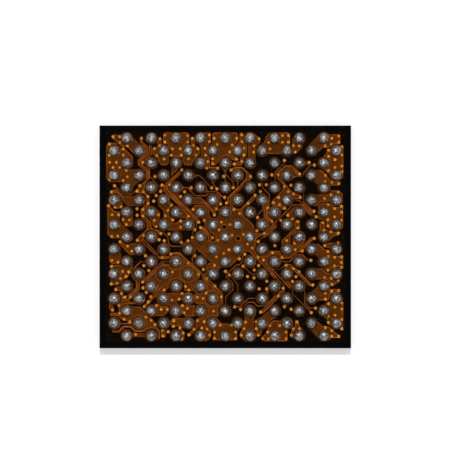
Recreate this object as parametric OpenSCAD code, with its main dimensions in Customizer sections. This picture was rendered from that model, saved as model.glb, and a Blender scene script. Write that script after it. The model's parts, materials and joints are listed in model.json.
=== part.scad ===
// Wafer-level ball grid array chip, lying on its back with its solder balls up.
// Every place on the face is given as [column, row] in steps of the ball grid:
// column 0 is the left-hand ball column, row 0 is the top ball row, and the
// balls stand wherever column + row is odd.

/* [Ball grid] */
// Distance between neighbouring balls, corner to corner of the staggered grid
ball_pitch = 0.4; // [0.4:0.01:0.5]
// Distance from the outer ball columns to the side edges of the body
side_margin = 0.34; // [0.3:0.01:0.5]
// Distance from the outer ball rows to the top and bottom edges of the body
end_margin = 0.293; // [0.28:0.01:0.5]

/* [Balls] */
// Diameter of a solder ball
ball_d = 0.25; // [0.22:0.005:0.27]
// Height that a ball stands above its pad
ball_standoff = 0.2; // [0.17:0.005:0.21]
// Diameter of the plated pad under a ball
pad_d = 0.22; // [0.19:0.005:0.26]
// Height that a pad stands above the upper film
pad_rise = 0.003; // [0.001:0.001:0.008]

/* [Body] */
// Thickness of the black coating on the back
coating_t = 0.04; // [0.02:0.005:0.06]
// Thickness of the silicon die
die_t = 0.3; // [0.2:0.01:0.4]
// Width of the bare die border round the films
film_inset = 0.13; // [0.1:0.005:0.16]

/* [Films and copper] */
// Thickness of the lower insulating film
lower_film_t = 0.01; // [0.006:0.001:0.02]
// Thickness of the copper
copper_t = 0.01; // [0.006:0.001:0.015]
// Thickness of the upper film where it covers copper
upper_film_t = 0.01; // [0.006:0.001:0.02]
// Diameter of the round copper land under a ball
land_d = 0.276; // [0.266:0.002:0.276]
// Diameter of the clearing round a land that stands free inside a plane
clearing_d = 0.33; // [0.31:0.005:0.34]
// Width of a thin copper trace
trace_w = 0.026; // [0.02:0.001:0.026]
// Width of a broad copper trace
band_w = 0.062; // [0.046:0.002:0.062]
// Diameter of the copper disc over a drop to the die
drop_cap_d = 0.09; // [0.07:0.002:0.09]
// Diameter of a drop through the lower film
drop_d = 0.06; // [0.04:0.002:0.066]
// Thickness of the aluminium pad at the foot of a drop
die_pad_t = 0.004; // [0.002:0.001:0.005]
// Diameter of the two round openings in the middle plane
hole_d = 0.09; // [0.06:0.005:0.1]

/* [Hidden] */
$fn = 48;
// The layout below is drawn for this many ball columns and rows
columns = 19;
rows = 17;
row_letters = "abcdefghjklmnprtu";
step = ball_pitch / sqrt(2);
body_w = (columns - 1) * step + 2 * side_margin;
body_l = (rows - 1) * step + 2 * end_margin;
film_w = body_w - 2 * film_inset;
film_l = body_l - 2 * film_inset;

die_z = coating_t;
lower_film_z = die_z + die_t;
copper_z = lower_film_z + lower_film_t;
cover_z = copper_z + copper_t;
pad_t = upper_film_t + pad_rise;
ball_z = cover_z + pad_t;

// A place on the grid as a point on the face
function at(place) = [
    (place[0] - (columns - 1) / 2) * step,
    ((rows - 1) / 2 - place[1]) * step
];

// A list of places as an outline
function outline(places) = [for (place = places) at(place)];

// The balls of one row
function row_places(row) = [
    for (column = [0 : columns - 1])
        if ((column + row) % 2 == 1) [column, row]
];

// The unit direction from one point to the next
function heading(from, to) = (to - from) / norm(to - from);

// The left-hand corner of a trace where two directions meet
function mitre(point, before, after, reach) =
    let (across = [-before[1] - after[1], before[0] + after[0]])
    point + across * reach * 2 / (across * across);

// One side of a trace of half width reach along points
function side(points, reach) = [
    for (i = [0 : len(points) - 1])
        let (
            before = heading(points[max(i - 1, 0)], points[max(i, 1)]),
            after = heading(points[min(i, len(points) - 2)], points[min(i + 1, len(points) - 1)])
        )
        mitre(points[i], before, after, reach)
];

function reversed(points) = [for (i = [len(points) - 1 : -1 : 0]) points[i]];

// The whole outline of a trace of a given width
function ribbon(points, width) = concat(side(points, width / 2), reversed(side(points, -width / 2)));

// Each stretch of copper lists its planes, its traces with their widths, the balls that land
// on it, its drops to the die and the lands that stand clear inside it.
north_west = [
    [
        [[-0.65, 0.6], [-0.45, 0.35], [0.1, 0.35], [0.5, 0.8], [0.85, 0.82], [1.52, 1.5], [1.52, 2.15],
            [1.2, 2.52], [1.9, 2.52], [2.4, 3.2], [2.0, 3.5], [1.52, 3.95], [1.5, 4.2], [1.2, 4.45],
            [0.85, 4.4], [0.9, 3.57], [-0.35, 3.57], [-0.65, 3.25]],
        [[-0.15, -0.3], [0.75, -0.3], [1.3, -0.4], [1.52, -0.05], [2.4, 0.8], [2.4, 1.3], [2.0, 1.5],
            [1.65, 1.35], [1.05, 0.72], [0.55, 0.67], [-0.22, -0.08]],
        [[3.6, -0.08], [3.83, -0.08], [3.83, 0.4], [4.0, 0.55], [4.27, 0.55], [4.42, 0.8], [4.42, 2.0],
            [4.25, 2.2], [3.8, 2.2], [3.58, 1.9], [3.52, 1.65], [3.08, 1.25], [3.08, 0.8], [3.5, 0.65],
            [3.48, 0.3]],
        [[5.3, 5.5], [6.06, 6.26], [6.1, 6.4], [5.97, 6.47], [5, 6.47]]
    ],
    [
        [band_w, [[2.18, 0], [2.18, 0.3], [2.63, 0.75], [2.63, 1.25], [2.0, 1.82], [2.0, 2.1],
            [2.68, 2.7], [2.68, 3.4]]],
        [trace_w, [[3, 0.4], [2.88, 0.7], [2.88, 1.28], [2.5, 1.66]]],
        [trace_w, [[2.6, 2.3], [2.88, 2.66], [2.88, 3.2]]],
        [trace_w, [[2.92, 3.1], [3.55, 3.84], [3.97, 4.19], [5.4, 5.62]]],
        [trace_w, [[3, 0.4], [2.65, 0.3]]]
    ],
    [[1, 0], [3, 0], [0, 1], [2, 1], [4, 1], [1, 2], [3, 2], [0, 3], [2, 3], [1, 4], [3, 4], [5, 6]],
    [
        [-0.1, -0.12], [0.45, -0.12], [0.45, 0.35], [-0.4, 0.48], [1.07, 0.6], [0.72, 0.87],
        [0.72, 1.37], [-0.4, 1.38], [-0.37, 1.95], [0.17, 1.95], [-0.1, 2.37], [0.43, 2.37], [0.98, 2.6],
        [1.05, 3.12], [0.72, 3.42], [-0.4, 3.35], [2.2, 0], [3.25, 0.85], [3.7, 0.05], [3.67, 0.6],
        [3.45, 1.4], [4.03, 1.67], [6.02, 6.32]
    ],
    []
];

north = [
    [
        [[3.95, -0.3], [4.12, -0.47], [5.92, -0.47], [6.1, -0.3], [6.1, 0.42], [5.75, 0.5], [5.5, 0.8],
            [5.5, 1.2], [5.55, 1.42], [5.35, 1.56], [5, 1.46], [4.7, 1.52], [4.55, 0.85], [4.25, 0.45],
            [3.95, 0.45]],
        [[6.2, -0.08], [6.42, -0.08], [6.5, 0.1], [6.55, 0.6], [6.93, 0.75], [6.93, 1.35],
            [6.72, 1.45], [6.48, 1.75], [6.3, 2.2],
            [5.72, 2.2], [5.56, 1.9], [5.52, 1.62], [5.7, 1.4], [6.4, 0.7], [6.2, 0.45]],
        [[7, -0.47], [7.83, -0.47], [7.83, 0.42], [7.6, 0.6], [7.5, 0.85], [7.5, 1.2], [7.75, 1.6],
            [7.77, 2.3], [8.5, 2.35], [8.45, 2.46], [6.85, 2.46], [6.6, 2.25], [6.6, 1.85], [7.02, 1.5],
            [7, 0.65], [6.75, 0.42]],
        [[7.95, -0.35], [8.1, -0.47], [9.92, -0.47], [10.05, -0.3], [10.05, 0.15], [9.82, 0.45],
            [9.5, 0.8], [9.5, 1.2], [9.7, 1.5], [10.1, 1.6], [10.1, 1.78], [9.75, 1.84], [9.45, 1.66],
            [9.2, 1.45], [9, 1.42], [8.62, 1.6], [8.45, 1.95], [8.15, 2.22], [7.87, 2.22],
            [7.85, 1.5], [7.62, 0.7],
            [7.95, 0.4]],
        [[10.15, -0.47], [10.45, -0.47], [10.47, 0.1], [10.55, 0.35], [10.76, 0.6], [10.76, 1.35],
            [10.5, 1.65],
            [10.48, 2], [10.28, 2.2], [9.62, 2.22], [9.6, 2], [10.18, 1.85], [10.2, 1.4], [9.88, 0.55],
            [10.15, 0.2]],
        [[10.7, -0.4], [11.3, -0.45], [11.88, 0.05], [11.85, 0.32], [11.45, 0.7], [11.45, 2.25],
            [11.2, 2.48], [10.8, 2.46], [10.55, 2.1], [10.58, 1.75], [10.86, 1.4], [10.86, 0.6],
            [10.6, 0.3]],
        [[8.6, 2.3], [8.97, 2.75], [9.03, 2.75], [9.4, 2.3]],
        [[8.85, 3.6], [9, 3.3], [9.2, 3.6]]
    ],
    [
        [trace_w, [[9, 2.6], [9, 3.6]]],
        [trace_w, [[9, 2.9], [9.66, 3.56], [9.65, 4]]]
    ],
    [[5, 0], [7, 0], [9, 0], [11, 0], [6, 1], [8, 1], [10, 1], [7, 2], [9, 2], [11, 2], [9, 4]],
    [
        [4.1, -0.25], [4.1, 0.3], [5.95, -0.22], [5.95, 0.3], [4.7, 0.85], [5.35, 0.85], [4.62, 1.38],
        [5.45, 1.38], [6.33, 0.02], [6.4, 0.57], [6.77, 0.85], [6.63, 1.37], [6.02, 1.67], [7.7, -0.27],
        [7.7, 0.27], [7.34, 0.82], [7.4, 1.37], [7.58, 1.88], [7.5, 2.42], [8.38, 2.43], [8.1, 0],
        [8.33, 0.5], [7.98, 1.65], [7.98, 2.06], [9.92, 0], [9.57, 0.55], [9.35, 1.1], [9.9, 1.68],
        [10.35, -0.27], [10.35, 0.27], [10.53, 0.8], [10.5, 1.35], [10.35, 1.87], [9.72, 2.1],
        [11.73, 0.05], [11.33, 0.6], [11.3, 1.12], [8.87, 3.1], [9.65, 4]
    ],
    []
];

north_east = [
    [
        [[12.6, -0.47], [14.1, -0.47], [14.27, -0.3], [14.27, 0.55], [14.4, 1.3], [13.6, 1.3],
            [12.45, 1.28], [12.15, 1.46], [11.7, 1.3], [11.6, 0.8], [12.25, 0.15], [12.25, -0.12]],
        [[14.43, -0.1], [14.7, 0], [15.48, -0.1], [15.48, 0.25], [15.25, 0.55], [15.25, 0.75],
            [14.78, 1.22], [14.6, 1.25], [14.48, 0.8], [14.43, 0.5]],
        [[16.65, -0.35], [17.3, -0.32], [18.33, -0.32], [18.33, 0.44], [17.8, 0.5], [17.52, 0.65],
            [17.35, 0.78], [16.9, 0.78], [16.25, 1.42], [15.75, 1.4], [15.55, 1.1], [15.6, 0.7]],
        [[18.2, 0.55], [18.58, 0.55], [18.58, 3.15], [18.3, 3.42], [17.75, 3.42], [17.5, 3.05],
            [16.95, 2.5], [16.65, 2.3], [16.6, 1.85], [17.2, 1.2], [17.22, 0.87], [17.6, 0.8]],
        [[16.15, 2.57], [16.8, 2.57], [17.42, 3.2], [17.6, 3.5], [18.33, 3.5], [18.33, 3.83],
            [17.62, 3.85], [17.45, 4], [16.75, 3.6], [16.5, 3.83], [15.9, 3.3]],
        [[15.3, 1.85], [15.95, 1.87], [15.85, 2.12], [15.45, 2.2], [15.2, 2.45]]
    ],
    [],
    [[13, 0], [15, 0], [17, 0], [12, 1], [14, 1], [16, 1], [18, 1], [15, 2], [17, 2], [16, 3], [18, 3],
        [17, 4]],
    [
        [12.53, 0.33], [12.63, 0.85], [13.63, -0.22], [13.63, 0.32], [14.12, -0.22], [14.12, 0.32],
        [14.53, 0.6], [15, 0.6], [14.67, 1.12], [17.65, 0], [18.2, -0.17], [18.2, 0.32], [17.6, 0.47],
        [17.1, 0.6], [17.4, 0.97], [17.38, 1.47], [18.45, 0.7], [18.45, 1.35], [17.9, 1.72],
        [18.45, 2.25], [17.9, 2.37], [17.37, 2.62], [18.45, 2.72], [17.13, 3.02], [17.1, 3.5],
        [17.65, 3.57], [18.2, 3.67], [15.8, 1.97]
    ],
    []
];

west = [
    [
        [[-0.33, 4.2], [0.18, 4.14], [0.76, 4.69], [1.55, 4.69], [1.75, 4.55], [2.2, 5.5], [1.1, 5.5],
            [0.62, 5.02], [0.55, 4.75], [0.3, 4.47], [-0.1, 4.4], [-0.33, 4.5]],
        [[0.45, 5.05], [0.56, 5.1], [0.68, 5.25], [0.66, 5.55], [0.55, 5.7], [0.02, 5.72],
            [-0.08, 5.62], [-0.1, 5.4]],
        [[-0.57, 5.5], [-0.35, 5.5], [0.02, 5.9], [0.46, 5.93], [0.42, 6.5], [0.48, 6.78], [1.32, 7.62],
            [1.2, 8.1], [0.55, 8.13], [-0.25, 8.13], [-0.57, 7.8]],
        [[0.55, 6.35], [1.5, 5.9], [1.5, 6.65], [1.42, 7.13], [0.98, 7.15], [0.6, 6.75]],
        [[3.4, 5.7], [3.7, 6], [3.7, 6.4], [3.55, 6.95], [3.58, 7.25], [3.3, 7.3], [3.1, 7.1],
            [3.1, 6.78], [2.8, 6.45]],
        [[3.52, 5.2], [4.4, 5.1], [4.82, 5.35], [4.78, 5.55], [4.5, 5.85], [4.45, 6.3], [4.9, 6.55],
            [4.9, 6.75], [4.7, 6.87], [5.05, 6.87], [5.25, 6.62], [5.6, 6.6], [5.8, 7.48], [4.8, 7.48],
            [3.9, 7.45], [3.7, 7.1], [3.75, 6.7], [4, 6.4], [4, 5.9], [3.55, 5.45]],
        [[0.3, 8.3], [0.62, 8.4], [0.9, 8.62], [1.2, 8.65], [1.4, 8.52], [2, 8.5], [2, 9.47],
            [1.25, 9.47], [0.5, 8.72]],
        [[-0.43, 9.1], [0.4, 9.2], [0.53, 9.3], [0.53, 9.65], [0.44, 10.15], [-0.2, 10.2],
            [-0.43, 9.98]],
        [[-0.33, 10.3], [0.5, 10.25], [1.5, 10.1], [1.5, 10.5], [1.3, 10.72], [1.3, 10.95],
            [1.05, 11.32], [0.72, 11.45], [0.5, 11.78], [0.3, 11.88], [-0.35, 11.9], [-0.3, 11.5],
            [-0.43, 11.2], [0.3, 10.7]]
    ],
    [
        [band_w, [[-0.47, 5.47], [-0.47, 5.7]]],
        [trace_w, [[4, 7.45], [4.03, 7.72], [4.36, 8.05], [4.38, 8.52], [4.65, 8.77], [5.45, 8.77],
            [5.9, 8.32], [6.2, 8.32]]]
    ],
    [[0, 5], [2, 5], [1, 6], [3, 6], [0, 7], [1, 8], [4, 5], [4, 7], [6, 7], [2, 9], [0, 9], [1, 10],
        [0, 11]],
    [
        [-0.23, 4.37], [-0.47, 5.47], [0.05, 5.57], [0.55, 5.55], [-0.18, 6.2], [0.36, 6.2],
        [0.72, 6.57], [1.22, 6.62], [0.97, 7], [-0.2, 7.95], [0.28, 7.93], [3.57, 6.2], [3.25, 6.65],
        [3.4, 7.15], [4.63, 5.43], [4.35, 5.85], [4.15, 6.3], [4.72, 6.62], [5.38, 6.72], [5.38, 7.22],
        [5.98, 8.32], [0.47, 8.4], [1.07, 8.75], [1.42, 9.15], [-0.2, 9.9], [0.3, 10.05], [-0.22, 10.4],
        [0.67, 10.8], [1.18, 10.83], [0.95, 11.22], [0.48, 11.37], [-0.25, 11.82], [0.22, 11.75]
    ],
    [[5, 6]]
];

south_west = [
    [
        [[2.55, 3.4], [2.8, 3.4], [2.5, 3.7], [2.45, 4.25], [2.62, 4.5], [2.85, 4.6], [2.85, 5.42],
            [2.48, 5.8], [2.48, 6.3], [3, 6.8], [3.02, 7.25], [3.25, 7.38], [3.55, 7.42],
            [3.85, 7.62], [3.7, 7.85], [3.3, 7.6], [2.6, 7.7],
            [2.42, 8.1], [2.2, 8.45], [1.75, 8.45], [1.75, 8.2], [2.63, 7.35], [2.63, 6.85],
            [2.13, 6.35], [2.13, 5.75], [2.58, 5.3], [2.58, 4.75], [2.4, 4.5], [1.7, 4.42],
            [1.78, 4.15], [2.3, 3.6]],
        [[3.4, 9.55], [4.5, 9.55], [4.75, 9.25], [5.32, 9.25], [6.98, 10.93], [6.95, 11.3],
            [6.6, 11.6], [6.45, 12.4], [5.68, 12.4], [5.65, 11.75], [5.45, 11.58], [4.7, 11.5],
            [4.45, 11.85], [4.5, 12.1], [3.8, 12.5], [3.4, 12.55], [3.5, 12.3], [4.3, 11.55],
            [3.95, 11.5], [3.45, 12.2], [2.6, 11.75], [2.62, 11.46], [3.9, 10.18], [5.2, 10.2],
            [5.2, 9.6], [4.75, 9.5], [4.4, 9.8], [3.62, 9.8]],
        [[7.05, 11.05], [7.27, 10.98], [8.76, 12.5], [8.82, 12.6], [8.82, 13.45], [8.5, 13.65], [8.4, 14],
            [8.5, 14.4], [8.3, 14.52], [7.62, 14.55], [7.5, 15.1], [7.6, 15.3], [7.85, 15.6],
            [7.87, 16.1], [7.5, 16.45], [7, 16.48], [6.8, 15.6], [6.95, 15.25], [6.2, 16.05],
            [6, 15.85], [6.58, 15.25], [6.65, 14.75], [6.95, 14.5], [7.4, 14.4], [7.3, 13.45],
            [6.65, 13.45], [6.5, 13.3], [6.5, 12.62], [7.5, 12.5], [7.52, 11.7]],
        [[5.52, 13.55], [6.75, 13.55], [6.75, 14.45], [5.77, 14.45], [5.5, 14.2]],
        [[7.42, 10.5], [8.62, 10.5], [8.4, 10.8], [7.7, 11.5], [7.2, 11.02], [7.42, 10.85]],
        [[4.3, 12.55], [5.62, 12.5], [5.65, 13.05], [5, 13.2], [5.25, 13.45], [5.1, 13.6],
            [4.6, 13.75], [4.35, 13.5]],
        [[3.15, 13.5], [3.5, 13.4], [3.85, 13.62], [4.3, 13.62], [4.5, 13.78], [4.4, 14.05],
            [4, 14.42], [3.2, 14.42]]
    ],
    [
        [trace_w, [[0.02, 3.85], [0.8, 4.57], [1.38, 4.57], [1.8, 4.2]]],
        [trace_w, [[2.35, 8.2], [3.45, 9.35], [3.6, 9.7]]],
        [trace_w, [[2.3, 11.65], [3.9, 10], [4.55, 10]]],
        [band_w, [[3.9, 12.2], [2.8, 13.25], [2.43, 13.65]]],
        [trace_w, [[3.45, 12.75], [3.45, 13.2], [3.8, 13.52], [4.5, 13.52]]],
        [band_w, [[6.3, 14], [6.6, 14]]],
        [trace_w, [[6.53, 9.5], [6.33, 9.65], [6.33, 10.12], [7.2, 11.02]]]
    ],
    [[5, 10], [4, 11], [6, 11], [7, 12], [8, 11], [3, 12], [5, 12], [4, 13], [6, 13], [5, 14], [3, 14],
        [7, 14], [7, 16]],
    [
        [0.02, 3.85], [1.85, 4.28], [2.07, 3.85], [2.35, 4.33], [2.72, 4.73], [2.73, 5.28],
        [2.33, 5.78], [2.33, 6.3], [2.35, 7.88], [1.87, 8.28], [3.9, 9.65], [4.58, 9.4], [5.98, 10.13],
        [4.72, 10.85], [6.82, 11.05], [6.53, 9.53], [7.5, 11.38], [8.15, 12], [5.78, 12.02],
        [6.05, 12.3], [7.45, 12.55], [6.73, 12.9], [7.2, 13], [8.67, 12.87], [8.05, 14.03],
        [5.93, 13.8], [5.67, 14.15], [6.75, 14.8], [7.3, 14.88], [7.1, 15.4], [7.53, 15.47],
        [7.72, 15.97], [6.47, 15.5], [6.05, 15.95], [2.97, 12.85], [2.75, 13.28], [2.43, 13.65],
        [3.42, 13.57], [3.8, 13.88], [4.3, 13.88], [4.68, 13.13], [5.25, 13.05], [5.5, 12.6],
        [2.3, 11.65], [2.6, 12.5], [4.05, 12.3], [5.52, 13.58], [3.77, 7.73]
    ],
    [[3, 8], [5, 10], [4, 11], [6, 11], [5, 12], [8, 13], [7, 14], [8, 15]]
];

centre = [
    [
        [[6.25, 5.72], [6.5, 5.42], [7.25, 5.42], [7.72, 5.88], [7.72, 6.25], [7.95, 6.48], [8.25, 6.48],
            [8.45, 6.25], [8.45, 5.78], [8.68, 5.6], [9.62, 5.5], [9.9, 5.72], [10.22, 5.72],
            [11.32, 4.6], [11.5, 4.85], [10.55, 5.8], [10.5, 6.3], [10.8, 6.5], [11.36, 7.12],
            [11.36, 7.6], [11.48, 7.72], [12.2, 7.67], [12.15, 7.85], [11.85, 7.9], [11.5, 8.2],
            [11.48, 9.25], [11.75, 9.5],
            [12.25, 9.5], [12.62, 9.13], [13.42, 9.13], [13.6, 9.45], [14.4, 9.4], [14.89, 9.14],
            [14.99, 9.24], [14.8, 9.3], [14.3, 9.74], [13.65, 9.8], [13, 9.7], [12.7, 10.2], [13, 10.68],
            [12.72, 10.98], [10.9, 9.2], [10.38, 9.2], [10.36, 9.45], [9.4, 10.45], [8.8, 10.47],
            [8.62, 10.5], [7.42, 10.5], [7.42, 10.35], [7.68, 10.12], [7.98, 10.1], [6.72, 8.98],
            [6.5, 9.34],
            [6.3, 9.34], [6.4, 8.6], [6.2, 8.48], [6.2, 8.22], [7.6, 8.3], [8.15, 8.35], [8.22, 8],
            [7.33, 7.15], [7.3, 6.85], [7.1, 6.5]],
        [[9.38, 2.6], [9.5, 2.45], [9.8, 2.3], [10.4, 2.32], [11.2, 3.1], [11.15, 3.28], [10.6, 3.75],
            [10.42, 4], [9.62, 4.82], [9.62, 5.6], [9.35, 5.6], [9.35, 4.75], [10.2, 3.9],
            [10.2, 3.72], [10.68, 3.22], [10.68, 2.83], [10.35, 2.47], [9.82, 2.46], [9.5, 2.68]],
        [[13.8, 10.2], [14.32, 10.2], [14.5, 10.42], [14.3, 10.65], [13.7, 10.65]],
        [[14.6, 6.8], [14.75, 6.63], [15.05, 6.63], [15.08, 7.38], [14.75, 7.5], [14.3, 7.95],
            [14.3, 8.7], [13.58, 8.75], [13.55, 8.3], [14.6, 7.28]],
        [[14.5, 7.9], [15.45, 7.9], [15.47, 8.3], [15.3, 8.6], [14.8, 9.08], [14.84, 9.14],
            [14.4, 9.6], [14.4, 8.7]]
    ],
    [
        [band_w, [[12.38, 5.63], [12.38, 6.37], [12.88, 6.85], [12.88, 7.05], [12.2, 7.74]]],
        [trace_w, [[13, 10.64], [13.45, 10.62], [13.85, 10.25]]],
        [band_w, [[14.3, 10.33], [15.85, 11.88], [16.1, 11.9]]],
        [trace_w, [[12.72, 10.9], [13.75, 11.95], [13.7, 12.17]]],
        [trace_w, [[12.95, 10.78], [14.3, 12.2]]],
        [trace_w, [[13.8, 11.38], [14.05, 11.5], [14.45, 11.98], [14.45, 12.62], [15.95, 14.1]]]
    ],
    [[10, 5], [9, 6], [7, 6], [8, 7], [10, 7], [7, 8], [9, 8], [11, 8], [15, 8], [6, 9], [8, 9],
        [10, 9], [14, 9], [9, 10],
        [14, 11]],
    [
        [9.48, 2.58], [11.05, 3.1], [9.7, 5.77], [10.17, 6.1], [11.42, 4.63], [10.85, 5.28], [6.4, 5.77],
        [7.3, 6.65], [8.67, 6.8], [9.38, 7], [8.5, 7.43], [9.55, 7.87], [10.47, 7.8], [12.17, 7.72],
        [12.44, 5.63], [12.77, 6.72], [8.4, 8.27], [10.8, 8.58], [11.18, 8.9], [9.3, 9.05],
        [8.87, 9.35], [8.28, 9.62], [8.13, 10.31], [11.65, 9.65], [12.1, 9.87],
        [12.83, 9.3], [13.6, 9.67], [13.95, 10.3], [14.53, 10.58], [16.1, 11.9], [13.7, 12.17],
        [14.88, 6.77], [14.88, 7.27], [13.98, 8.3], [14.62, 8.53],
        [14.67, 9.03], [10.15, 9.78], [14.97, 10.83], [15.98, 14.15]
    ],
    [[13, 10], [12, 9], [11, 6], [11, 4]]
];

east = [
    [
        [[16.2, 4.57], [17.3, 4.55], [17.5, 4.4], [17.55, 4.22], [18.25, 4.22], [18.52, 4.5],
            [18.52, 5.2], [18.2, 5.47], [17.8, 5.4], [17.5, 5.15], [16.75, 5.17], [16.5, 5.5],
            [15.85, 5.48]],
        [[16.8, 5.27], [17.45, 5.27], [17.85, 5.62], [18.25, 5.58], [18.57, 5.48], [18.57, 7.25],
            [18.3, 7.47], [17.6, 7.42], [17.2, 7.2], [17.18, 6.75], [17, 6.6], [16.65, 6.6],
            [16.53, 6.45], [16.53, 5.55]],
        [[16.65, 6.85], [16.8, 6.7], [17.05, 6.7], [17.1, 7.25], [17.35, 7.5], [17.7, 7.57],
            [18.35, 7.6], [18.3, 7.83], [17.85, 7.93], [17.3, 8.42], [16.8, 8.45], [16.55, 8.15],
            [16.55, 7.6], [16.65, 7.4]],
        [[17.05, 8.6], [17.5, 8.47], [18.25, 8.42], [18.47, 8.65], [18.47, 9.2], [17.8, 9.4],
            [17.42, 8.92], [17.05, 8.82]],
        [[16.2, 8.57], [16.62, 8.57], [17.05, 9.02], [17.42, 9.05], [17.6, 9.4], [17.8, 9.55], [18.3, 9.56],
            [18.57, 9.48], [18.57, 10.58], [18.35, 10.52], [18.2, 10.42], [17.85, 10.44],
            [17.62, 10.58], [17.48, 10.76], [17.25, 10.78],
            [16.9, 10.45], [16.6, 10.2], [16.6, 9.75], [16.2, 9.38]],
        [[16.1, 10.55], [16.88, 10.55], [17.22, 10.9], [17.55, 10.92], [17.9, 10.68], [18.47, 10.9],
            [18.47, 11.35], [17.8, 11.98], [17.6, 11.95], [17.3, 11.5], [16.9, 11.45],
            [15.85, 11.47]],
        [[16.5, 11.95], [16.7, 12.3], [17.35, 12.3], [17.55, 12.22], [18.32, 12.22], [18.32, 12.5],
            [17.7, 12.52], [17.47, 12.8], [17.42, 13.15], [16.5, 13.17], [16.1, 13.45],
            [15.8, 12.6]],
        [[14.95, 5.5], [14.6, 5.55], [14.02, 6.1], [13.95, 6.3], [14.3, 6.65], [14.55, 6.6],
            [14.75, 6.42], [15, 6.45]],
        [[13.85, 2.2], [14.42, 2.2], [15.12, 2.82], [14.95, 3], [14.5, 2.6], [13.6, 2.75],
            [13.6, 3.35], [13.8, 3.6], [14.38, 4.28], [14.6, 4.46], [15, 4.57], [15.2, 4.62],
            [15.2, 4.9], [14.68, 4.98],
            [14, 4.55], [13.6, 4.8], [13.5, 5.2], [13.7, 5.5], [13.95, 5.55], [13.97, 5.75],
            [13.6, 5.82], [13.4, 5.57], [13, 5.48], [12.72, 5.45], [12.75, 5.08], [13.62, 4.22],
            [13.68, 3.8], [13.22, 3.3], [13.22, 2.8]],
        [[14.3, 2.6], [14.68, 3.04], [14.68, 3.14], [14.2, 3.47]]
    ],
    [
        [trace_w, [[13.8, 1.8], [13.75, 2.05], [13.05, 2.75], [13.05, 3.4], [13.4, 3.8]]],
        [trace_w, [[14.6, 3.09], [15.3, 3.1], [15.37, 2.78], [15.92, 2.2], [16.23, 2.17]]],
        [trace_w, [[14.4, 4.85], [14.65, 5.06], [15, 5.06], [16.35, 6.37]]],
        [trace_w, [[15.35, 4.3], [15.35, 5.16], [16.14, 5.93]]],
        [trace_w, [[11.67, 8.38], [12, 8.02], [12.22, 8], [13.1, 7.12], [13.1, 6.77], [14.5, 5.4],
            [15.18, 5.4], [16.04, 6.26], [16.03, 6.7]]],
        [trace_w, [[12, 3.4], [12.02, 4], [12.57, 4.55], [12.58, 5.19], [12.13, 5.64], [12.13, 6.42],
            [12.6, 6.89], [12.6, 7.03], [12.28, 7.35]]],
        [trace_w, [[12, 5.4], [12.04, 5.8], [11.62, 6.22], [11.62, 6.43]]],
        [trace_w, [[13.52, 6.67], [13.8, 6.85]]],
        [trace_w, [[13.4, 10], [14.22, 10], [14.78, 9.44], [15.25, 9.44], [15.7, 9.9], [15.95, 9.9]]],
        [band_w, [[14.94, 9.19], [15.98, 8.15], [16.22, 8.12]]],
        [trace_w, [[15.6, 8.8], [15.38, 8.85], [15.25, 9.13]]]
    ],
    [[14, 3], [13, 4], [15, 4], [14, 5], [16, 5], [18, 5], [15, 6], [17, 6], [14, 7], [16, 7], [18, 7],
        [17, 8], [16, 9], [18, 9], [17, 10], [16, 11], [18, 11], [17, 12], [16, 13], [13, 10],
        [12, 3], [12, 5], [12, 7]],
    [
        [13.8, 1.8], [16.23, 2.17], [15.03, 2.9], [13.3, 2.95], [13.8, 3.9], [14.1, 4.33], [14.55, 4.52],
        [15.08, 4.8], [13.33, 4.8], [12.92, 5.23], [13.4, 5.38], [13.82, 5.67], [16.2, 5.92],
        [16.37, 6.37], [11.62, 6.43], [14.07, 6.25], [14.45, 6.55], [13.52, 6.67],
        [11.67, 8.38], [15.25, 9.13], [16.22, 8.12],
        [15.95, 9.9], [18.15, 4.38], [17.6, 4.6], [17.05, 4.88], [17.35, 5.4], [17.87, 5.7],
        [18.43, 5.53], [18.43, 6], [17.87, 6.38], [18.43, 6.65], [17.33, 6.6], [17.33, 7.1],
        [16.92, 6.85], [17, 7.47], [17.57, 7.6], [18.17, 7.7], [17.07, 8.7], [18.15, 8.5],
        [17.33, 9.2], [17.35, 9.6], [17.88, 9.65], [18.43, 9.62], [18.42, 10.08], [17.86, 10.35],
        [18.43, 10.48], [17.33, 10.68], [17.05, 11.3], [17.6, 11.35], [18.15, 11.53], [17.65, 11.85],
        [18.2, 12.37], [17.63, 12.42], [17.12, 12.57], [17.12, 13.05]
    ],
    []
];

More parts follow.
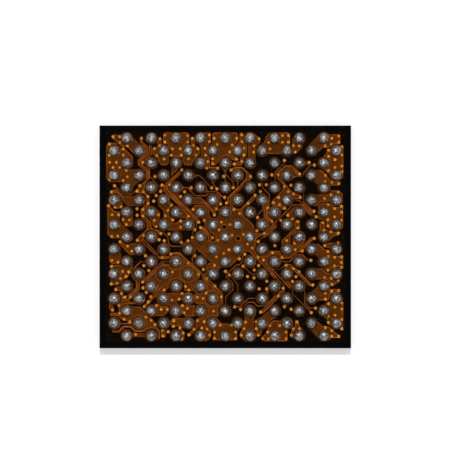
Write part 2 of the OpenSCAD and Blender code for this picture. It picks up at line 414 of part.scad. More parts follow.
south_east = [
    [
        [[17.5, 13.22], [17.75, 13.4], [18.2, 13.3], [18.57, 13.25], [18.57, 15.5], [18.2, 15.48],
            [17.75, 15.4], [17.25, 15.05], [17.25, 14.7], [16.95, 14.48], [16.7, 14.3], [16.7, 13.8],
            [17.1, 13.5], [17.25, 13.25]],
        [[16.3, 14.65], [16.95, 15.25], [17.35, 15.25], [17.75, 15.58], [18.3, 16.05], [18.2, 16.22],
            [17.65, 16.2], [17.3, 16.47], [16.85, 16.45], [16.5, 16.18], [15.8, 15.48], [15.65, 15.1]],
        [[14.65, 14.85], [14.8, 14.73], [14.97, 14.85], [15.02, 15.2], [15.48, 15.75], [15.48, 16.15],
            [15.1, 16.45], [14.8, 16.4], [14.3, 16.1], [14.3, 15.85], [14.4, 15.5], [14.65, 15.2]],
        [[12.85, 14.78], [13.6, 14.78], [14.2, 14.6], [14.48, 15.1], [14.07, 15.55], [14.05, 16.4],
            [13.95, 16.48], [12.15, 16.48], [11.93, 16.3], [11.97, 16.1], [12.4, 15.7], [12.45, 15.3],
            [12.55, 15.07]],
        [[12.6, 13.85], [13, 13.6], [13.42, 14.25], [13, 14.65], [12.82, 14.67], [12.42, 15.07],
            [12.4, 15.2], [12, 15.6], [11.88, 16.05], [11.6, 16.1], [11.55, 15.75], [11.42, 15.5],
            [11.42, 14.75], [11.75, 14.65], [11.9, 14.5]],
        [[10.55, 14.2], [11.5, 14], [11.5, 14.3], [11.33, 14.55], [11.33, 15.5], [11.48, 15.9],
            [11.48, 16.2], [11.2, 16.47], [10.65, 16.47], [10.2, 16.05], [10.2, 15.75], [10.5, 15.3],
            [10.55, 15]],
        [[8.4, 14.7], [8.72, 15.03], [9.4, 15.03], [9.6, 14.85], [10.2, 15], [10.45, 15.2],
            [9.97, 15.68], [9.97, 16.38], [9.4, 16.4], [9.2, 16.48], [8.75, 16.48], [8.55, 16.4],
            [8.05, 16.35], [8.05, 15.65], [7.8, 15.4]],
        [[13.45, 12.35], [13.6, 12.4], [13.85, 12.3], [13.8, 12.65], [13.5, 12.9], [13.2, 12.95],
            [13.15, 12.75]],
        [[13.7, 13.4], [14, 13.4], [13.95, 13.7]],
        [[11.4, 11], [11.65, 10.8], [11.65, 11.25]]
    ],
    [
        [trace_w, [[10.55, 9.42], [10.4, 9.6], [10.4, 9.98], [10.13, 10.27], [9.9, 10.27],
            [9.12, 11.02], [9.05, 11.5]]],
        [trace_w, [[9.12, 11.25], [9.6, 11.75], [9.6, 12.32], [9.03, 12.88], [9.02, 13.6]]],
        [trace_w, [[9.34, 11.1], [9.98, 11.82], [10.02, 12.6]]],
        [trace_w, [[10.45, 10.38], [11.17, 11.05], [11.5, 11.02]]],
        [trace_w, [[11.6, 13], [10.88, 12.98], [10.2, 13.65], [9.77, 13.68]]],
        [trace_w, [[10.25, 13.88], [10.85, 13.3], [11.3, 13.3], [11.6, 13.62], [12.24, 13.58],
            [13.02, 12.8], [13.02, 12.4]]],
        [band_w, [[13.3, 12.82], [11.95, 14.12]]],
        [trace_w, [[15.3, 12.2], [15.45, 12.4], [15.45, 13.38], [15.85, 13.78], [16.32, 13.78]]],
        [trace_w, [[14.35, 13.87], [14.55, 13.85], [14.78, 13.65]]],
        [band_w, [[12.37, 12.22], [12.4, 12.6]]]
    ],
    [[18, 13], [17, 14], [18, 15], [16, 15], [17, 16], [15, 16], [14, 15], [13, 16], [13, 14], [12, 15],
        [11, 14], [11, 16], [10, 15], [9, 16], [8, 15], [14, 13], [12, 13], [12, 11], [9, 12], [9, 14],
        [10, 13], [13, 12], [15, 12], [15, 14]],
    [
        [10.58, 9.42], [10.45, 10.38], [9.34, 11.1], [9.77, 13.68], [10.25, 13.88], [11.87, 14.1],
        [13.3, 12.78], [12.37, 12.22], [13.8, 13.65], [14.35, 13.87], [16.32, 13.78],
        [17.38, 13.43], [18.45, 13.37], [17.9, 13.7], [18.45, 13.85], [17.9, 14.35], [17.37, 14.43],
        [18.45, 14.7], [17.37, 14.93], [18.45, 15.45], [14.8, 14.9], [14.52, 15.47], [15.02, 15.45],
        [14.37, 15.97], [17.12, 15.37], [17.63, 15.6], [17.63, 16.05], [18.2, 16.07], [12.63, 15.2],
        [13.42, 15.2], [12.45, 15.72], [12.05, 16.25], [12.5, 16.27], [13.92, 15.72], [13.93, 16.25],
        [11.51, 14.88], [11.52, 15.45], [11.67, 15.97], [10.65, 14.92], [10.52, 15.45], [10.3, 15.97],
        [8.6, 15.17], [9.53, 15.17], [8.13, 15.72], [8.13, 16.23], [9.83, 15.72], [9.83, 16.25]
    ],
    []
];

south = [
    [
        [[-0.35, 14.15], [0.15, 14.15], [0.3, 14.25], [0.5, 14.25], [0.8, 14.4], [1.45, 14.2], [1.3, 13.55],
            [1.45, 13.65], [2.12, 13.65], [2.45, 14], [2.6, 14.4], [3, 14.6], [3.35, 15], [3.45, 15.3],
            [3.71, 15.6], [3.71, 16.3], [3.57, 16.3], [3.5, 15.75], [3.3, 15.45], [3, 15.4],
            [2.7, 15.5], [2.45, 15.72], [1.6, 15.72], [1.3, 15.37], [0.85, 15.35], [0.45, 15.77],
            [-0.2, 15.77], [-0.2, 15.6], [0.35, 15.57], [0.68, 15.2], [1.5, 15.2], [1.5, 15.1],
            [0.6, 15.08], [0.55, 14.98], [1.45, 14.95], [1.45, 14.8], [0.7, 14.82], [0.3, 14.42],
            [-0.35, 14.43]],
        [[0.05, 12.1], [0.6, 11.9], [0.72, 12.6], [0.72, 13.1], [1.1, 13.1], [1.3, 13.3], [1.75, 13.2],
            [1.9, 13.45], [0.8, 13.47], [0.5, 13.75], [0.5, 14.28], [0.38, 14.28], [0.32, 13.5],
            [0.6, 13.2], [0.55, 12.65], [0.5, 12.4], [0.05, 12.38]],
        [[-0.43, 13.1], [0, 13.4], [-0.1, 13.55], [-0.1, 13.85], [-0.2, 14], [-0.43, 13.85]],
        [[3.6, 15.2], [4.4, 15.2], [4.18, 15.5], [4.18, 16.1], [4.05, 16.2], [3.78, 16.15],
            [3.76, 15.5]],
        [[4.75, 14.57], [5.75, 14.57], [5.9, 15.48], [5.55, 15.4], [5.4, 15.25], [5.1, 15.25],
            [4.7, 15.42], [4.55, 15.2], [4.58, 14.75]],
        [[4.6, 15.65], [5, 15.52], [5.2, 15.5], [5.45, 15.5], [5.7, 15.72], [5.68, 16.35], [5.5, 16.47],
            [5.1, 16.47]]
    ],
    [
        [trace_w, [[2.6, 10], [2.15, 10], [1.42, 10.73], [1.42, 11.22], [1.78, 11.6], [1.78, 12.12],
            [1.1, 12.75], [0.85, 12.9]]],
        [band_w, [[1.97, 11.4], [1.97, 12.25], [1.3, 12.92], [0.98, 13.22]]],
        [trace_w, [[0.3, 15.03], [0.7, 15.03]]],
        [band_w, [[1.4, 15.9], [2.55, 15.9]]],
        [band_w, [[1.4, 16.02], [2.55, 16.02]]]
    ],
    [[3, 10], [2, 11], [1, 12], [0, 13], [2, 13], [1, 14], [0, 15], [1, 16], [3, 16], [4, 15], [6, 15],
        [5, 16]],
    [
        [0.12, 12.27], [0.57, 12.6], [0.85, 12.9], [1.3, 12.87], [0.37, 13.55], [-0.15, 13.93],
        [0.43, 14.2], [0.8, 14.67], [1.27, 14.9], [2.57, 14.5], [2.98, 14.77], [3.3, 15.12],
        [1.73, 15.92], [3.9, 15.57], [3.95, 16.03], [4.83, 14.8], [4.8, 15.25], [5.32, 15.38],
        [5.58, 15.8], [5.48, 16.27]
    ],
    [[2, 15], [1, 16], [3, 16]]
];

middle = [
    [
        [[4.62, 2.3], [5.4, 2.3], [5.05, 2.68], [4.62, 3.1]],
        [[6.2, 2.55], [6.65, 3], [6.65, 3.08], [6.25, 3.47]],
        [[5.42, 3.75], [5.68, 4], [5.2, 4.47]],
        [[6.4, 4.77], [7, 4.77], [8.28, 6.03], [8.25, 6.25], [8.12, 6.35], [7.97, 6.22], [7.95, 6],
            [7.3, 5.33], [6.45, 5.33], [6.2, 5.47]],
        [[8.45, 5.2], [8.42, 5.7], [8.28, 5.88], [7.62, 5.2]],
        [[7.4, 3.95], [7.65, 4.28], [7.65, 4.38], [7.2, 4.47]],
        [[7.7, 3.4], [8, 3.72], [8.3, 3.4]],
        [[9.8, 3.4], [10, 3.65], [10.2, 3.4]],
        [[4.55, 7.65], [4.8, 7.6], [4.6, 7.8]]
    ],
    [
        [trace_w, [[4.8, 3], [4.12, 3.68], [4.12, 4.08], [6.63, 6.6], [6.67, 6.75], [6.67, 7.2],
            [6.53, 7.42], [6.35, 7.65], [6.33, 8.05]]],
        [trace_w, [[5.47, 2.57], [4.28, 3.76], [4.28, 4.08], [6.82, 6.62], [6.84, 6.78]]],
        [trace_w, [[4.48, 3.78], [4.48, 3.96], [5.12, 4.6], [5.38, 4.7]]],
        [trace_w, [[6.6, 3.03], [6.92, 3.03], [7.9, 4.02]]],
        [trace_w, [[5.6, 4], [5.92, 4], [6.58, 4.66], [7.4, 4.66], [7.6, 4.5], [8.22, 4.5],
            [8.63, 4.92], [8.63, 5.37]]],
        [trace_w, [[7.55, 4.33], [8.32, 4.33], [8.72, 4.73], [8.95, 4.78]]],
        [trace_w, [[8, 3.6], [8.05, 3.78], [8.32, 4.08]]],
        [trace_w, [[10, 3.4], [10.01, 3.99], [9.21, 4.79], [9.2, 5.05], [9.1, 5.25]]],
        [trace_w, [[4.44, 7.77], [4.65, 7.7]]],
        [band_w, [[7.02, 7.25], [7.25, 7.3], [7.72, 7.8]]]
    ],
    [[5, 2], [6, 3], [8, 3], [10, 3], [5, 4], [7, 4], [6, 5], [8, 5], [5, 8]],
    [
        [5.47, 2.57], [4.48, 3.75], [5.38, 4.72], [7.9, 4.02], [8.32, 4.1], [8.95, 4.8], [8.62, 5.33],
        [9.1, 5.25], [8.12, 6.22], [8.28, 5.73], [6.84, 6.8], [6.53, 7.42], [6.33, 8.05],
        [7, 7.25], [4.44, 7.77],
        [2.31, 1.95], [3.3, 3.1], [3.87, 3.8], [3.75, 4.3], [3.4, 4.65], [3.2, 5.1], [1.85, 5.72],
        [1.85, 6.25], [5.7, 4.35], [6.23, 4.02], [3.63, 8.23], [4.05, 8.32],
        [5.43, 8.45], [2.53, 9.53], [2.4, 10.33], [2.8, 10.73], [2.33, 12.13],
        [4.37, 15.7], [7.97, 8.07], [7.22, 10.64], [9.02, 10.8], [12.78, 2.97], [11.78, 3.77],
        [12.33, 3.77], [11.85, 4.33], [14.33, 3.82], [11.56, 7.5], [13.03, 8.7],
        [11.7, 10.33], [11.35, 10.68], [10.8, 11.22], [11.33, 11.33], [12.37, 11.6], [11.75, 12.22],
        [14.73, 11.23], [14.45, 11.61]
    ],
    []
];

zones = [north_west, north, north_east, west, centre, east, south_west, south, south_east, middle];
zone_names = [
    "north_west", "north", "north_east", "west", "centre", "east", "south_west", "south", "south_east",
    "middle"
];

// The two round openings in the middle plane
holes = [[8.93, 7.2], [10.05, 8.13]];

function landed(place) = len([for (zone = zones) for (land = zone[2]) if (land == place) land]) > 0;

// The balls whose land joins no other copper
lone_lands = [for (row = [0 : rows - 1]) for (place = row_places(row)) if (!landed(place)) place];

module discs(places, diameter) {
    for (place = places) translate(at(place)) circle(d = diameter);
}

// The flat shape of one stretch of copper
module copper_shape(zone) {
    difference() {
        for (plane = zone[0]) polygon(outline(plane));
        discs(zone[4], clearing_d);
        discs(holes, hole_d);
    }
    for (trace = zone[1]) polygon(ribbon(outline(trace[1]), trace[0]));
    discs(zone[2], land_d);
    discs(zone[3], drop_cap_d);
}

// One stretch of copper with its drops down to the pads on the die
module copper(zone) {
    color("peru") {
        translate([0, 0, copper_z]) linear_extrude(copper_t) copper_shape(zone);
        translate([0, 0, lower_film_z + die_pad_t])
            linear_extrude(lower_film_t - die_pad_t)
                discs(zone[3], drop_d);
    }
}

module copper_lone_lands() {
    color("peru")
        translate([0, 0, copper_z])
            linear_extrude(copper_t)
                discs(lone_lands, land_d);
}

module back_coating() {
    color("dimgray")
        translate([-body_w / 2, -body_l / 2, 0])
            cube([body_w, body_l, coating_t]);
}

module silicon_die() {
    color("slategray")
        translate([-body_w / 2, -body_l / 2, die_z])
            cube([body_w, body_l, die_t]);
}

module die_pads() {
    color("silver")
        translate([0, 0, lower_film_z])
            linear_extrude(die_pad_t)
                for (zone = zones) discs(zone[3], drop_d);
}

module lower_film() {
    color([0.2, 0.13, 0.08])
        translate([0, 0, lower_film_z])
            linear_extrude(lower_film_t)
                difference() {
                    square([film_w, film_l], center = true);
                    for (zone = zones) discs(zone[3], drop_d);
                }
}

// The upper film fills between the copper, covers it and is open at each pad
module upper_film() {
    color([0.5, 0.3, 0.1, 0.3]) {
        translate([0, 0, copper_z])
            linear_extrude(copper_t)
                difference() {
                    square([film_w, film_l], center = true);
                    for (zone = zones) copper_shape(zone);
                    discs(lone_lands, land_d);
                }
        translate([0, 0, cover_z])
            linear_extrude(upper_film_t)
                difference() {
                    square([film_w, film_l], center = true);
                    for (row = [0 : rows - 1]) discs(row_places(row), pad_d);
                }
    }
}

module ball_pads(row) {
    color("gold")
        translate([0, 0, cover_z])
            linear_extrude(pad_t)
                discs(row_places(row), pad_d);
}

// A ball is flat where it is soldered to its pad
module solder_ball() {
    rotate_extrude()
        intersection() {
            translate([0, ball_standoff - ball_d / 2]) circle(d = ball_d);
            square([ball_d, ball_standoff + ball_d]);
        }
}

module solder_balls(row) {
    color("lightgray")
        for (place = row_places(row))
            translate([at(place)[0], at(place)[1], ball_z])
                solder_ball();
}

back_coating();
silicon_die();
die_pads();
lower_film();
upper_film();
copper_lone_lands();
for (i = [0 : len(zones) - 1])
    copper(zones[i]);
for (row = [0 : rows - 1]) {
    ball_pads(row);
    solder_balls(row);
}
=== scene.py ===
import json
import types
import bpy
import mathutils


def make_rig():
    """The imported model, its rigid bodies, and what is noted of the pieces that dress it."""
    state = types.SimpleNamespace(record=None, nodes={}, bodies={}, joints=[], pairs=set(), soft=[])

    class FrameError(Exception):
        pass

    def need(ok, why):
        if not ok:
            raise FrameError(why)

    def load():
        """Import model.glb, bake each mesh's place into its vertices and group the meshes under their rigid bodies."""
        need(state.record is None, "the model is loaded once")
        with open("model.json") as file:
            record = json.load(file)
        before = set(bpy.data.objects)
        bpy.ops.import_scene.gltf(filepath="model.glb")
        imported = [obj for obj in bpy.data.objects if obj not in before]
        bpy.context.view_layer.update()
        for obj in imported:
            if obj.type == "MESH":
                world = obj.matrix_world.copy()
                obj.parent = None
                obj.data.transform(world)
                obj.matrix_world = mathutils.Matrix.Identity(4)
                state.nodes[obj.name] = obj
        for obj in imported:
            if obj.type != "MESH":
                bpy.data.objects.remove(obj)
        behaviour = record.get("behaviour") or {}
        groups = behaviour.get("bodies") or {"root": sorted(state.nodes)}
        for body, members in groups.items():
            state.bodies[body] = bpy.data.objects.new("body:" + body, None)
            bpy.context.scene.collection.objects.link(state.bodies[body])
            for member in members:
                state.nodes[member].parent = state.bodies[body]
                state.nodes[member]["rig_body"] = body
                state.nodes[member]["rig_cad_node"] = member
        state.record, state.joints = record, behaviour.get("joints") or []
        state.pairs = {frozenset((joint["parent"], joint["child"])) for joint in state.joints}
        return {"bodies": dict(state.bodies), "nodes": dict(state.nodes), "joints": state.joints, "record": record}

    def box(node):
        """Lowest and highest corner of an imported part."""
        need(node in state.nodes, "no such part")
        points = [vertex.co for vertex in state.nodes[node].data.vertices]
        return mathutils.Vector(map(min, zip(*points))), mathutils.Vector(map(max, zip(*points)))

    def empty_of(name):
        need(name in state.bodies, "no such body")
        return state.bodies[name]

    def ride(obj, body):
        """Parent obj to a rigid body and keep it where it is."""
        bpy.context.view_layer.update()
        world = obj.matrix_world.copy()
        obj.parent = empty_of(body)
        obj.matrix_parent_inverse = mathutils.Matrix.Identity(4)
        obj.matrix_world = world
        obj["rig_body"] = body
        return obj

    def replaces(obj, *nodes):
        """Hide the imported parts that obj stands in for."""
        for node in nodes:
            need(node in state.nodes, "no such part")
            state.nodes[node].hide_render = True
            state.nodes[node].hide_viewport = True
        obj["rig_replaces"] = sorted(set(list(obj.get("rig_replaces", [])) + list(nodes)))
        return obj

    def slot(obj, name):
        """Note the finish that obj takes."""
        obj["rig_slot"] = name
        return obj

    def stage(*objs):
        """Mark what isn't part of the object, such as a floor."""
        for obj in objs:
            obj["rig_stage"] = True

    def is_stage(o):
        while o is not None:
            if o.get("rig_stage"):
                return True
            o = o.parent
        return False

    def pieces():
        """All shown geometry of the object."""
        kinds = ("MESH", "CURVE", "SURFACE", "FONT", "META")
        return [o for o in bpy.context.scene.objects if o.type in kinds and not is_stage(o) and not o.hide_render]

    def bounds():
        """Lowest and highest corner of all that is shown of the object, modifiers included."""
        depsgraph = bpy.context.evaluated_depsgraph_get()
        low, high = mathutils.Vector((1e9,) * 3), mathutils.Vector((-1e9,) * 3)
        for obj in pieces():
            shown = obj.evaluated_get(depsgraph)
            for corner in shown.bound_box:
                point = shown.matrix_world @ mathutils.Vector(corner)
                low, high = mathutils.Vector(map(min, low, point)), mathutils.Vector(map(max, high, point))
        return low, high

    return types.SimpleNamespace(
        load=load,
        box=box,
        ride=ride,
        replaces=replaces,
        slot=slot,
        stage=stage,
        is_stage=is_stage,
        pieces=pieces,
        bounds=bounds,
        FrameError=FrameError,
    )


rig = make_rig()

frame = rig.load()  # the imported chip: its bodies, nodes and record

import json
import math
import random

import bmesh
import bpy
from mathutils import Matrix, Vector
from mathutils.bvhtree import BVHTree
from mathutils.kdtree import KDTree

cadLow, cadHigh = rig.bounds()
nodes = frame["nodes"]
micron = 1e-6
ballRows = sorted(name for name in nodes if name.startswith("solder_balls_row_"))
padRows = sorted(name for name in nodes if name.startswith("ball_pads_row_"))
copperNodes = sorted(name for name in nodes if name.startswith("copper_"))
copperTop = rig.box(copperNodes[0])[1].z
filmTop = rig.box("upper_film")[1].z
weld = 0.2 * micron


def deselectAll():
    if bpy.context.mode != "OBJECT":
        bpy.ops.object.mode_set(mode="OBJECT")
    bpy.ops.object.select_all(action="DESELECT")


def pick(piece):
    deselectAll()
    piece.select_set(True)
    bpy.context.view_layer.objects.active = piece


def copyOf(piece, name):
    twin = piece.copy()
    twin.data = piece.data.copy()
    twin.parent = None
    twin.matrix_world = Matrix.Identity(4)
    twin.name = name
    twin.data.name = name
    marks = [key for key in twin.keys() if key.startswith("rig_")]
    for key in marks:  # the copy isn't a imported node
        del twin[key]
    bpy.context.scene.collection.objects.link(twin)
    return twin


def joined(pieces, name):
    # all in one object, which keeps the first one's place
    deselectAll()
    for piece in pieces:
        piece.select_set(True)
    bpy.context.view_layer.objects.active = pieces[0]
    if len(pieces) > 1:
        bpy.ops.object.join()
    whole = bpy.context.view_layer.objects.active
    whole.name = name
    whole.data.name = name
    return whole


def settle(piece):
    pick(piece)  # the place goes into the mesh, and the object stays at the origin
    bpy.ops.object.transform_apply(location=True, rotation=True, scale=True)


def editAll(piece):
    # into edit mode, with everything selected
    pick(piece)
    bpy.ops.object.mode_set(mode="EDIT")
    bpy.ops.mesh.select_all(action="SELECT")


def converted(piece, kind):
    pick(piece)
    bpy.ops.object.convert(target=kind)
    return bpy.context.object


def keepTop(piece, top):
    # in edit mode, with only the faces that look up at this height left
    editAll(piece)
    bpy.ops.mesh.remove_doubles(threshold=weld)
    bpy.ops.mesh.select_mode(type="FACE")
    bpy.ops.mesh.select_all(action="DESELECT")
    mesh = bmesh.from_edit_mesh(piece.data)
    upright = 0.9
    for face in mesh.faces:
        face.select_set(face.normal.z < upright or face.calc_center_median().z < top - micron)
    bmesh.update_edit_mesh(piece.data)
    bpy.ops.mesh.delete(type="FACE")


def dress(piece, slot, *finishes):
    piece.data.materials.clear()
    for finish in finishes:
        piece.data.materials.append(finish)
    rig.ride(piece, "root")
    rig.slot(piece, slot)
    return piece


cameraPlan = dict(bodyShare=0.5565, aside=0.0016, above=0.0241, height=0.03, near=0.001, far=1.0)


def placeCamera():
    lens = bpy.data.cameras.new("camera")
    lens.type = "ORTHO"
    bodyWidth = cadHigh.x - cadLow.x
    lens.ortho_scale = bodyWidth / cameraPlan["bodyShare"]
    lens.clip_start = cameraPlan["near"]
    lens.clip_end = cameraPlan["far"]
    camera = bpy.data.objects.new("camera", lens)
    camera.location = (
        cameraPlan["aside"] * lens.ortho_scale,
        cameraPlan["above"] * lens.ortho_scale,
        cameraPlan["height"],
    )
    bpy.context.scene.collection.objects.link(camera)
    bpy.context.scene.camera = camera


placeCamera()
print("camera placed")


def rowPlaces(name):
    low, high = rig.box(name)
    radius = (high.y - low.y) / 2
    count = round((high.x - low.x - 2 * radius) / (2 * step)) + 1
    y = (low.y + high.y) / 2
    return [Vector((low.x + radius + 2 * step * i, y, 0)) for i in range(count)]


rowHeights = sorted((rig.box(name)[0].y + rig.box(name)[1].y) / 2 for name in ballRows)
step = (rowHeights[-1] - rowHeights[0]) / (len(rowHeights) - 1)
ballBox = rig.box(ballRows[0])
ballRadius = (ballBox[1].y - ballBox[0].y) / 2
ballFoot = ballBox[0].z
ballTop = ballBox[1].z
ballPlaces = {name: rowPlaces(name) for name in ballRows}
gridLeft = min(place.x for places in ballPlaces.values() for place in places)
print("balls on the grid:", sum(len(places) for places in ballPlaces.values()))


def material(name):
    made = bpy.data.materials.new(name)
    made.use_nodes = True
    return made, made.node_tree, made.node_tree.nodes["Principled BSDF"]


def add(tree, kind, **values):
    node = tree.nodes.new(kind)
    for key, value in values.items():
        if hasattr(node, key):
            setattr(node, key, value)
        else:
            node.inputs[key].default_value = value
    return node


def feed(tree, socket, value):
    # an output is linked, and anything else is set
    if isinstance(value, bpy.types.NodeSocket):
        tree.links.new(value, socket)
    else:
        socket.default_value = value


def compute(tree, operation, *values):
    node = add(tree, "ShaderNodeMath", operation=operation)
    for socket, value in zip(node.inputs, values):
        feed(tree, socket, value)
    return node.outputs[0]


def blend(tree, share, under, over):
    node = add(tree, "ShaderNodeMix", data_type="RGBA")
    feed(tree, node.inputs["Factor"], share)
    feed(tree, node.inputs["A"], under)
    feed(tree, node.inputs["B"], over)
    return node.outputs["Result"]


def objectPoint(tree):
    return tree.nodes.new("ShaderNodeTexCoord").outputs["Object"]


def heightOf(tree, vector):
    split = tree.nodes.new("ShaderNodeSeparateXYZ")
    tree.links.new(vector, split.inputs["Vector"])
    return split.outputs["Z"]


def makeMottle():
    # slow patches and fine grain in one value from 0 to 1
    group = bpy.data.node_groups.new("mottle", "ShaderNodeTree")
    for name, value in (("Patch", 8000.0), ("Grain", 60000.0), ("Share", 0.5)):
        socket = group.interface.new_socket(name, in_out="INPUT", socket_type="NodeSocketFloat")
        socket.default_value = value
    group.interface.new_socket("Vector", in_out="INPUT", socket_type="NodeSocketVector")
    group.interface.new_socket("Value", in_out="OUTPUT", socket_type="NodeSocketFloat")
    start = group.nodes.new("NodeGroupInput")
    end = group.nodes.new("NodeGroupOutput")
    patch = add(group, "ShaderNodeTexNoise", Detail=2.0, Roughness=0.5)
    grain = add(group, "ShaderNodeTexNoise", Detail=3.0, Roughness=0.6)
    both = add(group, "ShaderNodeMix", data_type="FLOAT")
    group.links.new(start.outputs["Vector"], patch.inputs["Vector"])
    group.links.new(start.outputs["Vector"], grain.inputs["Vector"])
    group.links.new(start.outputs["Patch"], patch.inputs["Scale"])
    group.links.new(start.outputs["Grain"], grain.inputs["Scale"])
    group.links.new(start.outputs["Share"], both.inputs["Factor"])
    group.links.new(patch.outputs[0], both.inputs["A"])
    group.links.new(grain.outputs[0], both.inputs["B"])
    group.links.new(both.outputs["Result"], end.inputs["Value"])
    return group


mottle = makeMottle()


def placeMottle(tree, look):
    node = tree.nodes.new("ShaderNodeGroup")
    node.node_tree = mottle
    node.inputs["Patch"].default_value = look["patch"]
    node.inputs["Grain"].default_value = look["grain"]
    node.inputs["Share"].default_value = look["share"]
    tree.links.new(objectPoint(tree), node.inputs["Vector"])
    return node.outputs["Value"]


def ramp(tree, value, *stops):
    node = tree.nodes.new("ShaderNodeValToRGB")
    band = node.color_ramp
    band.elements[0].position, band.elements[0].color = stops[0][0], (*stops[0][1], 1)
    band.elements[1].position, band.elements[1].color = stops[-1][0], (*stops[-1][1], 1)
    for place, colour in stops[1:-1]:
        band.elements.new(place).color = (*colour, 1)
    tree.links.new(value, node.inputs["Fac"])
    return node.outputs["Color"]


def greyRamp(tree, value, stops):
    return ramp(tree, value, *[(place, (grey,) * 3) for place, grey in stops])


def mottleRamp(tree, value, look, edge):
    return ramp(tree, value, (edge, look["dark"]), (1 - edge, look["light"]))


def span(tree, value, low, high, start=0.3, end=0.7):
    # the mottle mostly lies between the default start and end
    node = tree.nodes.new("ShaderNodeMapRange")
    node.inputs["From Min"].default_value = start
    node.inputs["From Max"].default_value = end
    node.inputs["To Min"].default_value = low
    node.inputs["To Max"].default_value = high
    tree.links.new(value, node.inputs["Value"])
    return node.outputs["Result"]


def bump(tree, shader, height, look):
    node = add(tree, "ShaderNodeBump", Strength=look["relief"], Distance=look["deep"])
    tree.links.new(height, node.inputs["Height"])
    tree.links.new(node.outputs["Normal"], shader.inputs["Normal"])


metalLook = dict(share=0.45, edge=0.32, gloss=0.03, relief=0.25, deep=1.5 * micron)
copperLook = dict(dark=(0.096, 0.0205, 0.0004), light=(0.150, 0.0395, 0.0014), rough=(0.4, 0.52),
                  metal=0.3, patch=5000.0, grain=60000.0)
# painted highlight: the rim beads along the copper edges and the fine traces are coloured several times brighter than
# the plane copper, for the light that the film's slopes over them catch
edgeHighlightLook = dict(dark=(0.30, 0.070, 0.006), light=(0.48, 0.130, 0.014), rough=(0.28, 0.42),
                metal=0.3, patch=9000.0, grain=70000.0)
# painted highlight: the land rings round the balls are coloured brighter than any other copper, for the light that
# their slopes catch beside the balls' shade
ringHighlightLook = dict(dark=(0.50, 0.155, 0.028), light=(0.80, 0.32, 0.08), rough=(0.28, 0.42),
                metal=0.2, patch=9000.0, grain=70000.0)
# painted highlight: the drops over the vias are coloured bright amber, and those at trace ends near yellow-white, for
# the light that their dimples catch
dropHighlightLook = dict(dark=(0.56, 0.175, 0.012), light=(0.92, 0.36, 0.036), rough=(0.25, 0.4),
                metal=0.2, patch=15000.0, grain=80000.0)
tipHighlightLook = dict(dark=(0.92, 0.34, 0.030), light=(1.0, 0.52, 0.085), rough=(0.2, 0.35),
               metal=0.2, patch=15000.0, grain=80000.0)
platingLook = dict(dark=(0.3, 0.2, 0.09), light=(0.5, 0.36, 0.18), rough=(0.3, 0.45),
                   metal=0.9, patch=9000.0, grain=60000.0)
aluminiumLook = dict(dark=(0.45, 0.45, 0.46), light=(0.65, 0.65, 0.66), rough=(0.3, 0.4),
                     metal=1.0, patch=9000.0, grain=60000.0)


def metalFinish(name, special, dimmed=False):
    made, tree, shader = material(name)
    look = {**metalLook, **special}
    value = placeMottle(tree, look)
    colour = mottleRamp(tree, value, look, look["edge"])
    # the glow attribute scales the colour: on the rims, traces and rings it is painted shade round the balls and
    # painted light on one side of them; on the drops it is a random tone
    if dimmed:  # darker where a ball stands over it
        mark = add(tree, "ShaderNodeAttribute", attribute_name="glow")
        shade = add(tree, "ShaderNodeVectorMath", operation="SCALE")
        tree.links.new(colour, shade.inputs[0])
        tree.links.new(mark.outputs["Fac"], shade.inputs["Scale"])
        colour = shade.outputs[0]
    tree.links.new(colour, shader.inputs["Base Color"])
    tree.links.new(span(tree, value, *look["rough"]), shader.inputs["Roughness"])
    shader.inputs["Metallic"].default_value = look["metal"]
    shader.inputs["Specular IOR Level"].default_value = look["gloss"]
    bump(tree, shader, value, look)
    return made


# the tone by height paints light and shade on the balls: lighter on the flank and the crown, darker between; the
# spreads also set how strong the mottle and the painted glints are
solderLook = dict(
    dark=(0.02, 0.022, 0.027), mid=(0.16, 0.162, 0.165), light=(0.42, 0.41, 0.40),
    stops=(0.361, 0.444, 0.528), patch=38000.0, grain=80000.0, share=0.5, middle=0.49, contrast=2.1,
    paintedGlint=(0.9, 0.89, 0.87), paintedGlintScale=23000.0, paintedGlintEdge=((0.12, 1.0), (0.26, 0.0)),
    rough=(0.42, 0.26), metal=1.0, relief=0.65, deep=9 * micron, flank=80 * micron,
    tones=((0.0, 0.485), (0.2, 0.453), (0.5, 0.415), (0.68, 0.386), (0.84, 0.410), (0.94, 0.482),
           (1.0, 0.492)),
    spreads=((0.0, 0.6), (0.2, 0.75), (0.5, 0.85), (0.8, 0.8), (0.94, 0.45), (1.0, 0.35)),
)  # tones and spreads go by height, from the flank to the crown


def solderFinish():
    made, tree, shader = material("reflowedSolder")
    look = solderLook
    value = placeMottle(tree, look)
    height = span(tree, heightOf(tree, objectPoint(tree)), 0.0, 1.0, ballTop - look["flank"], ballTop)
    spread = greyRamp(tree, height, look["spreads"])
    apart = compute(tree, "MULTIPLY", compute(tree, "SUBTRACT", value, look["middle"]), spread)
    # the tone by height is painted light and shade
    shaded = compute(tree, "MULTIPLY_ADD", apart, look["contrast"], greyRamp(tree, height, look["tones"]))
    colour = ramp(tree, shaded, *zip(look["stops"], (look["dark"], look["mid"], look["light"])))
    # painted glints: near-white specks scattered over the metal ball, for the light that its crinkles catch; fewer on
    # the crown
    cells = add(tree, "ShaderNodeTexVoronoi", Scale=look["paintedGlintScale"])
    tree.links.new(objectPoint(tree), cells.inputs["Vector"])
    paintedGlints = greyRamp(tree, cells.outputs["Distance"], look["paintedGlintEdge"])
    paintedGlints = compute(tree, "MULTIPLY", paintedGlints, spread)  # fewer on the crown
    tree.links.new(blend(tree, paintedGlints, colour, (*look["paintedGlint"], 1)), shader.inputs["Base Color"])
    tree.links.new(span(tree, value, *look["rough"]), shader.inputs["Roughness"])
    shader.inputs["Metallic"].default_value = look["metal"]
    bump(tree, shader, value, look)
    return made


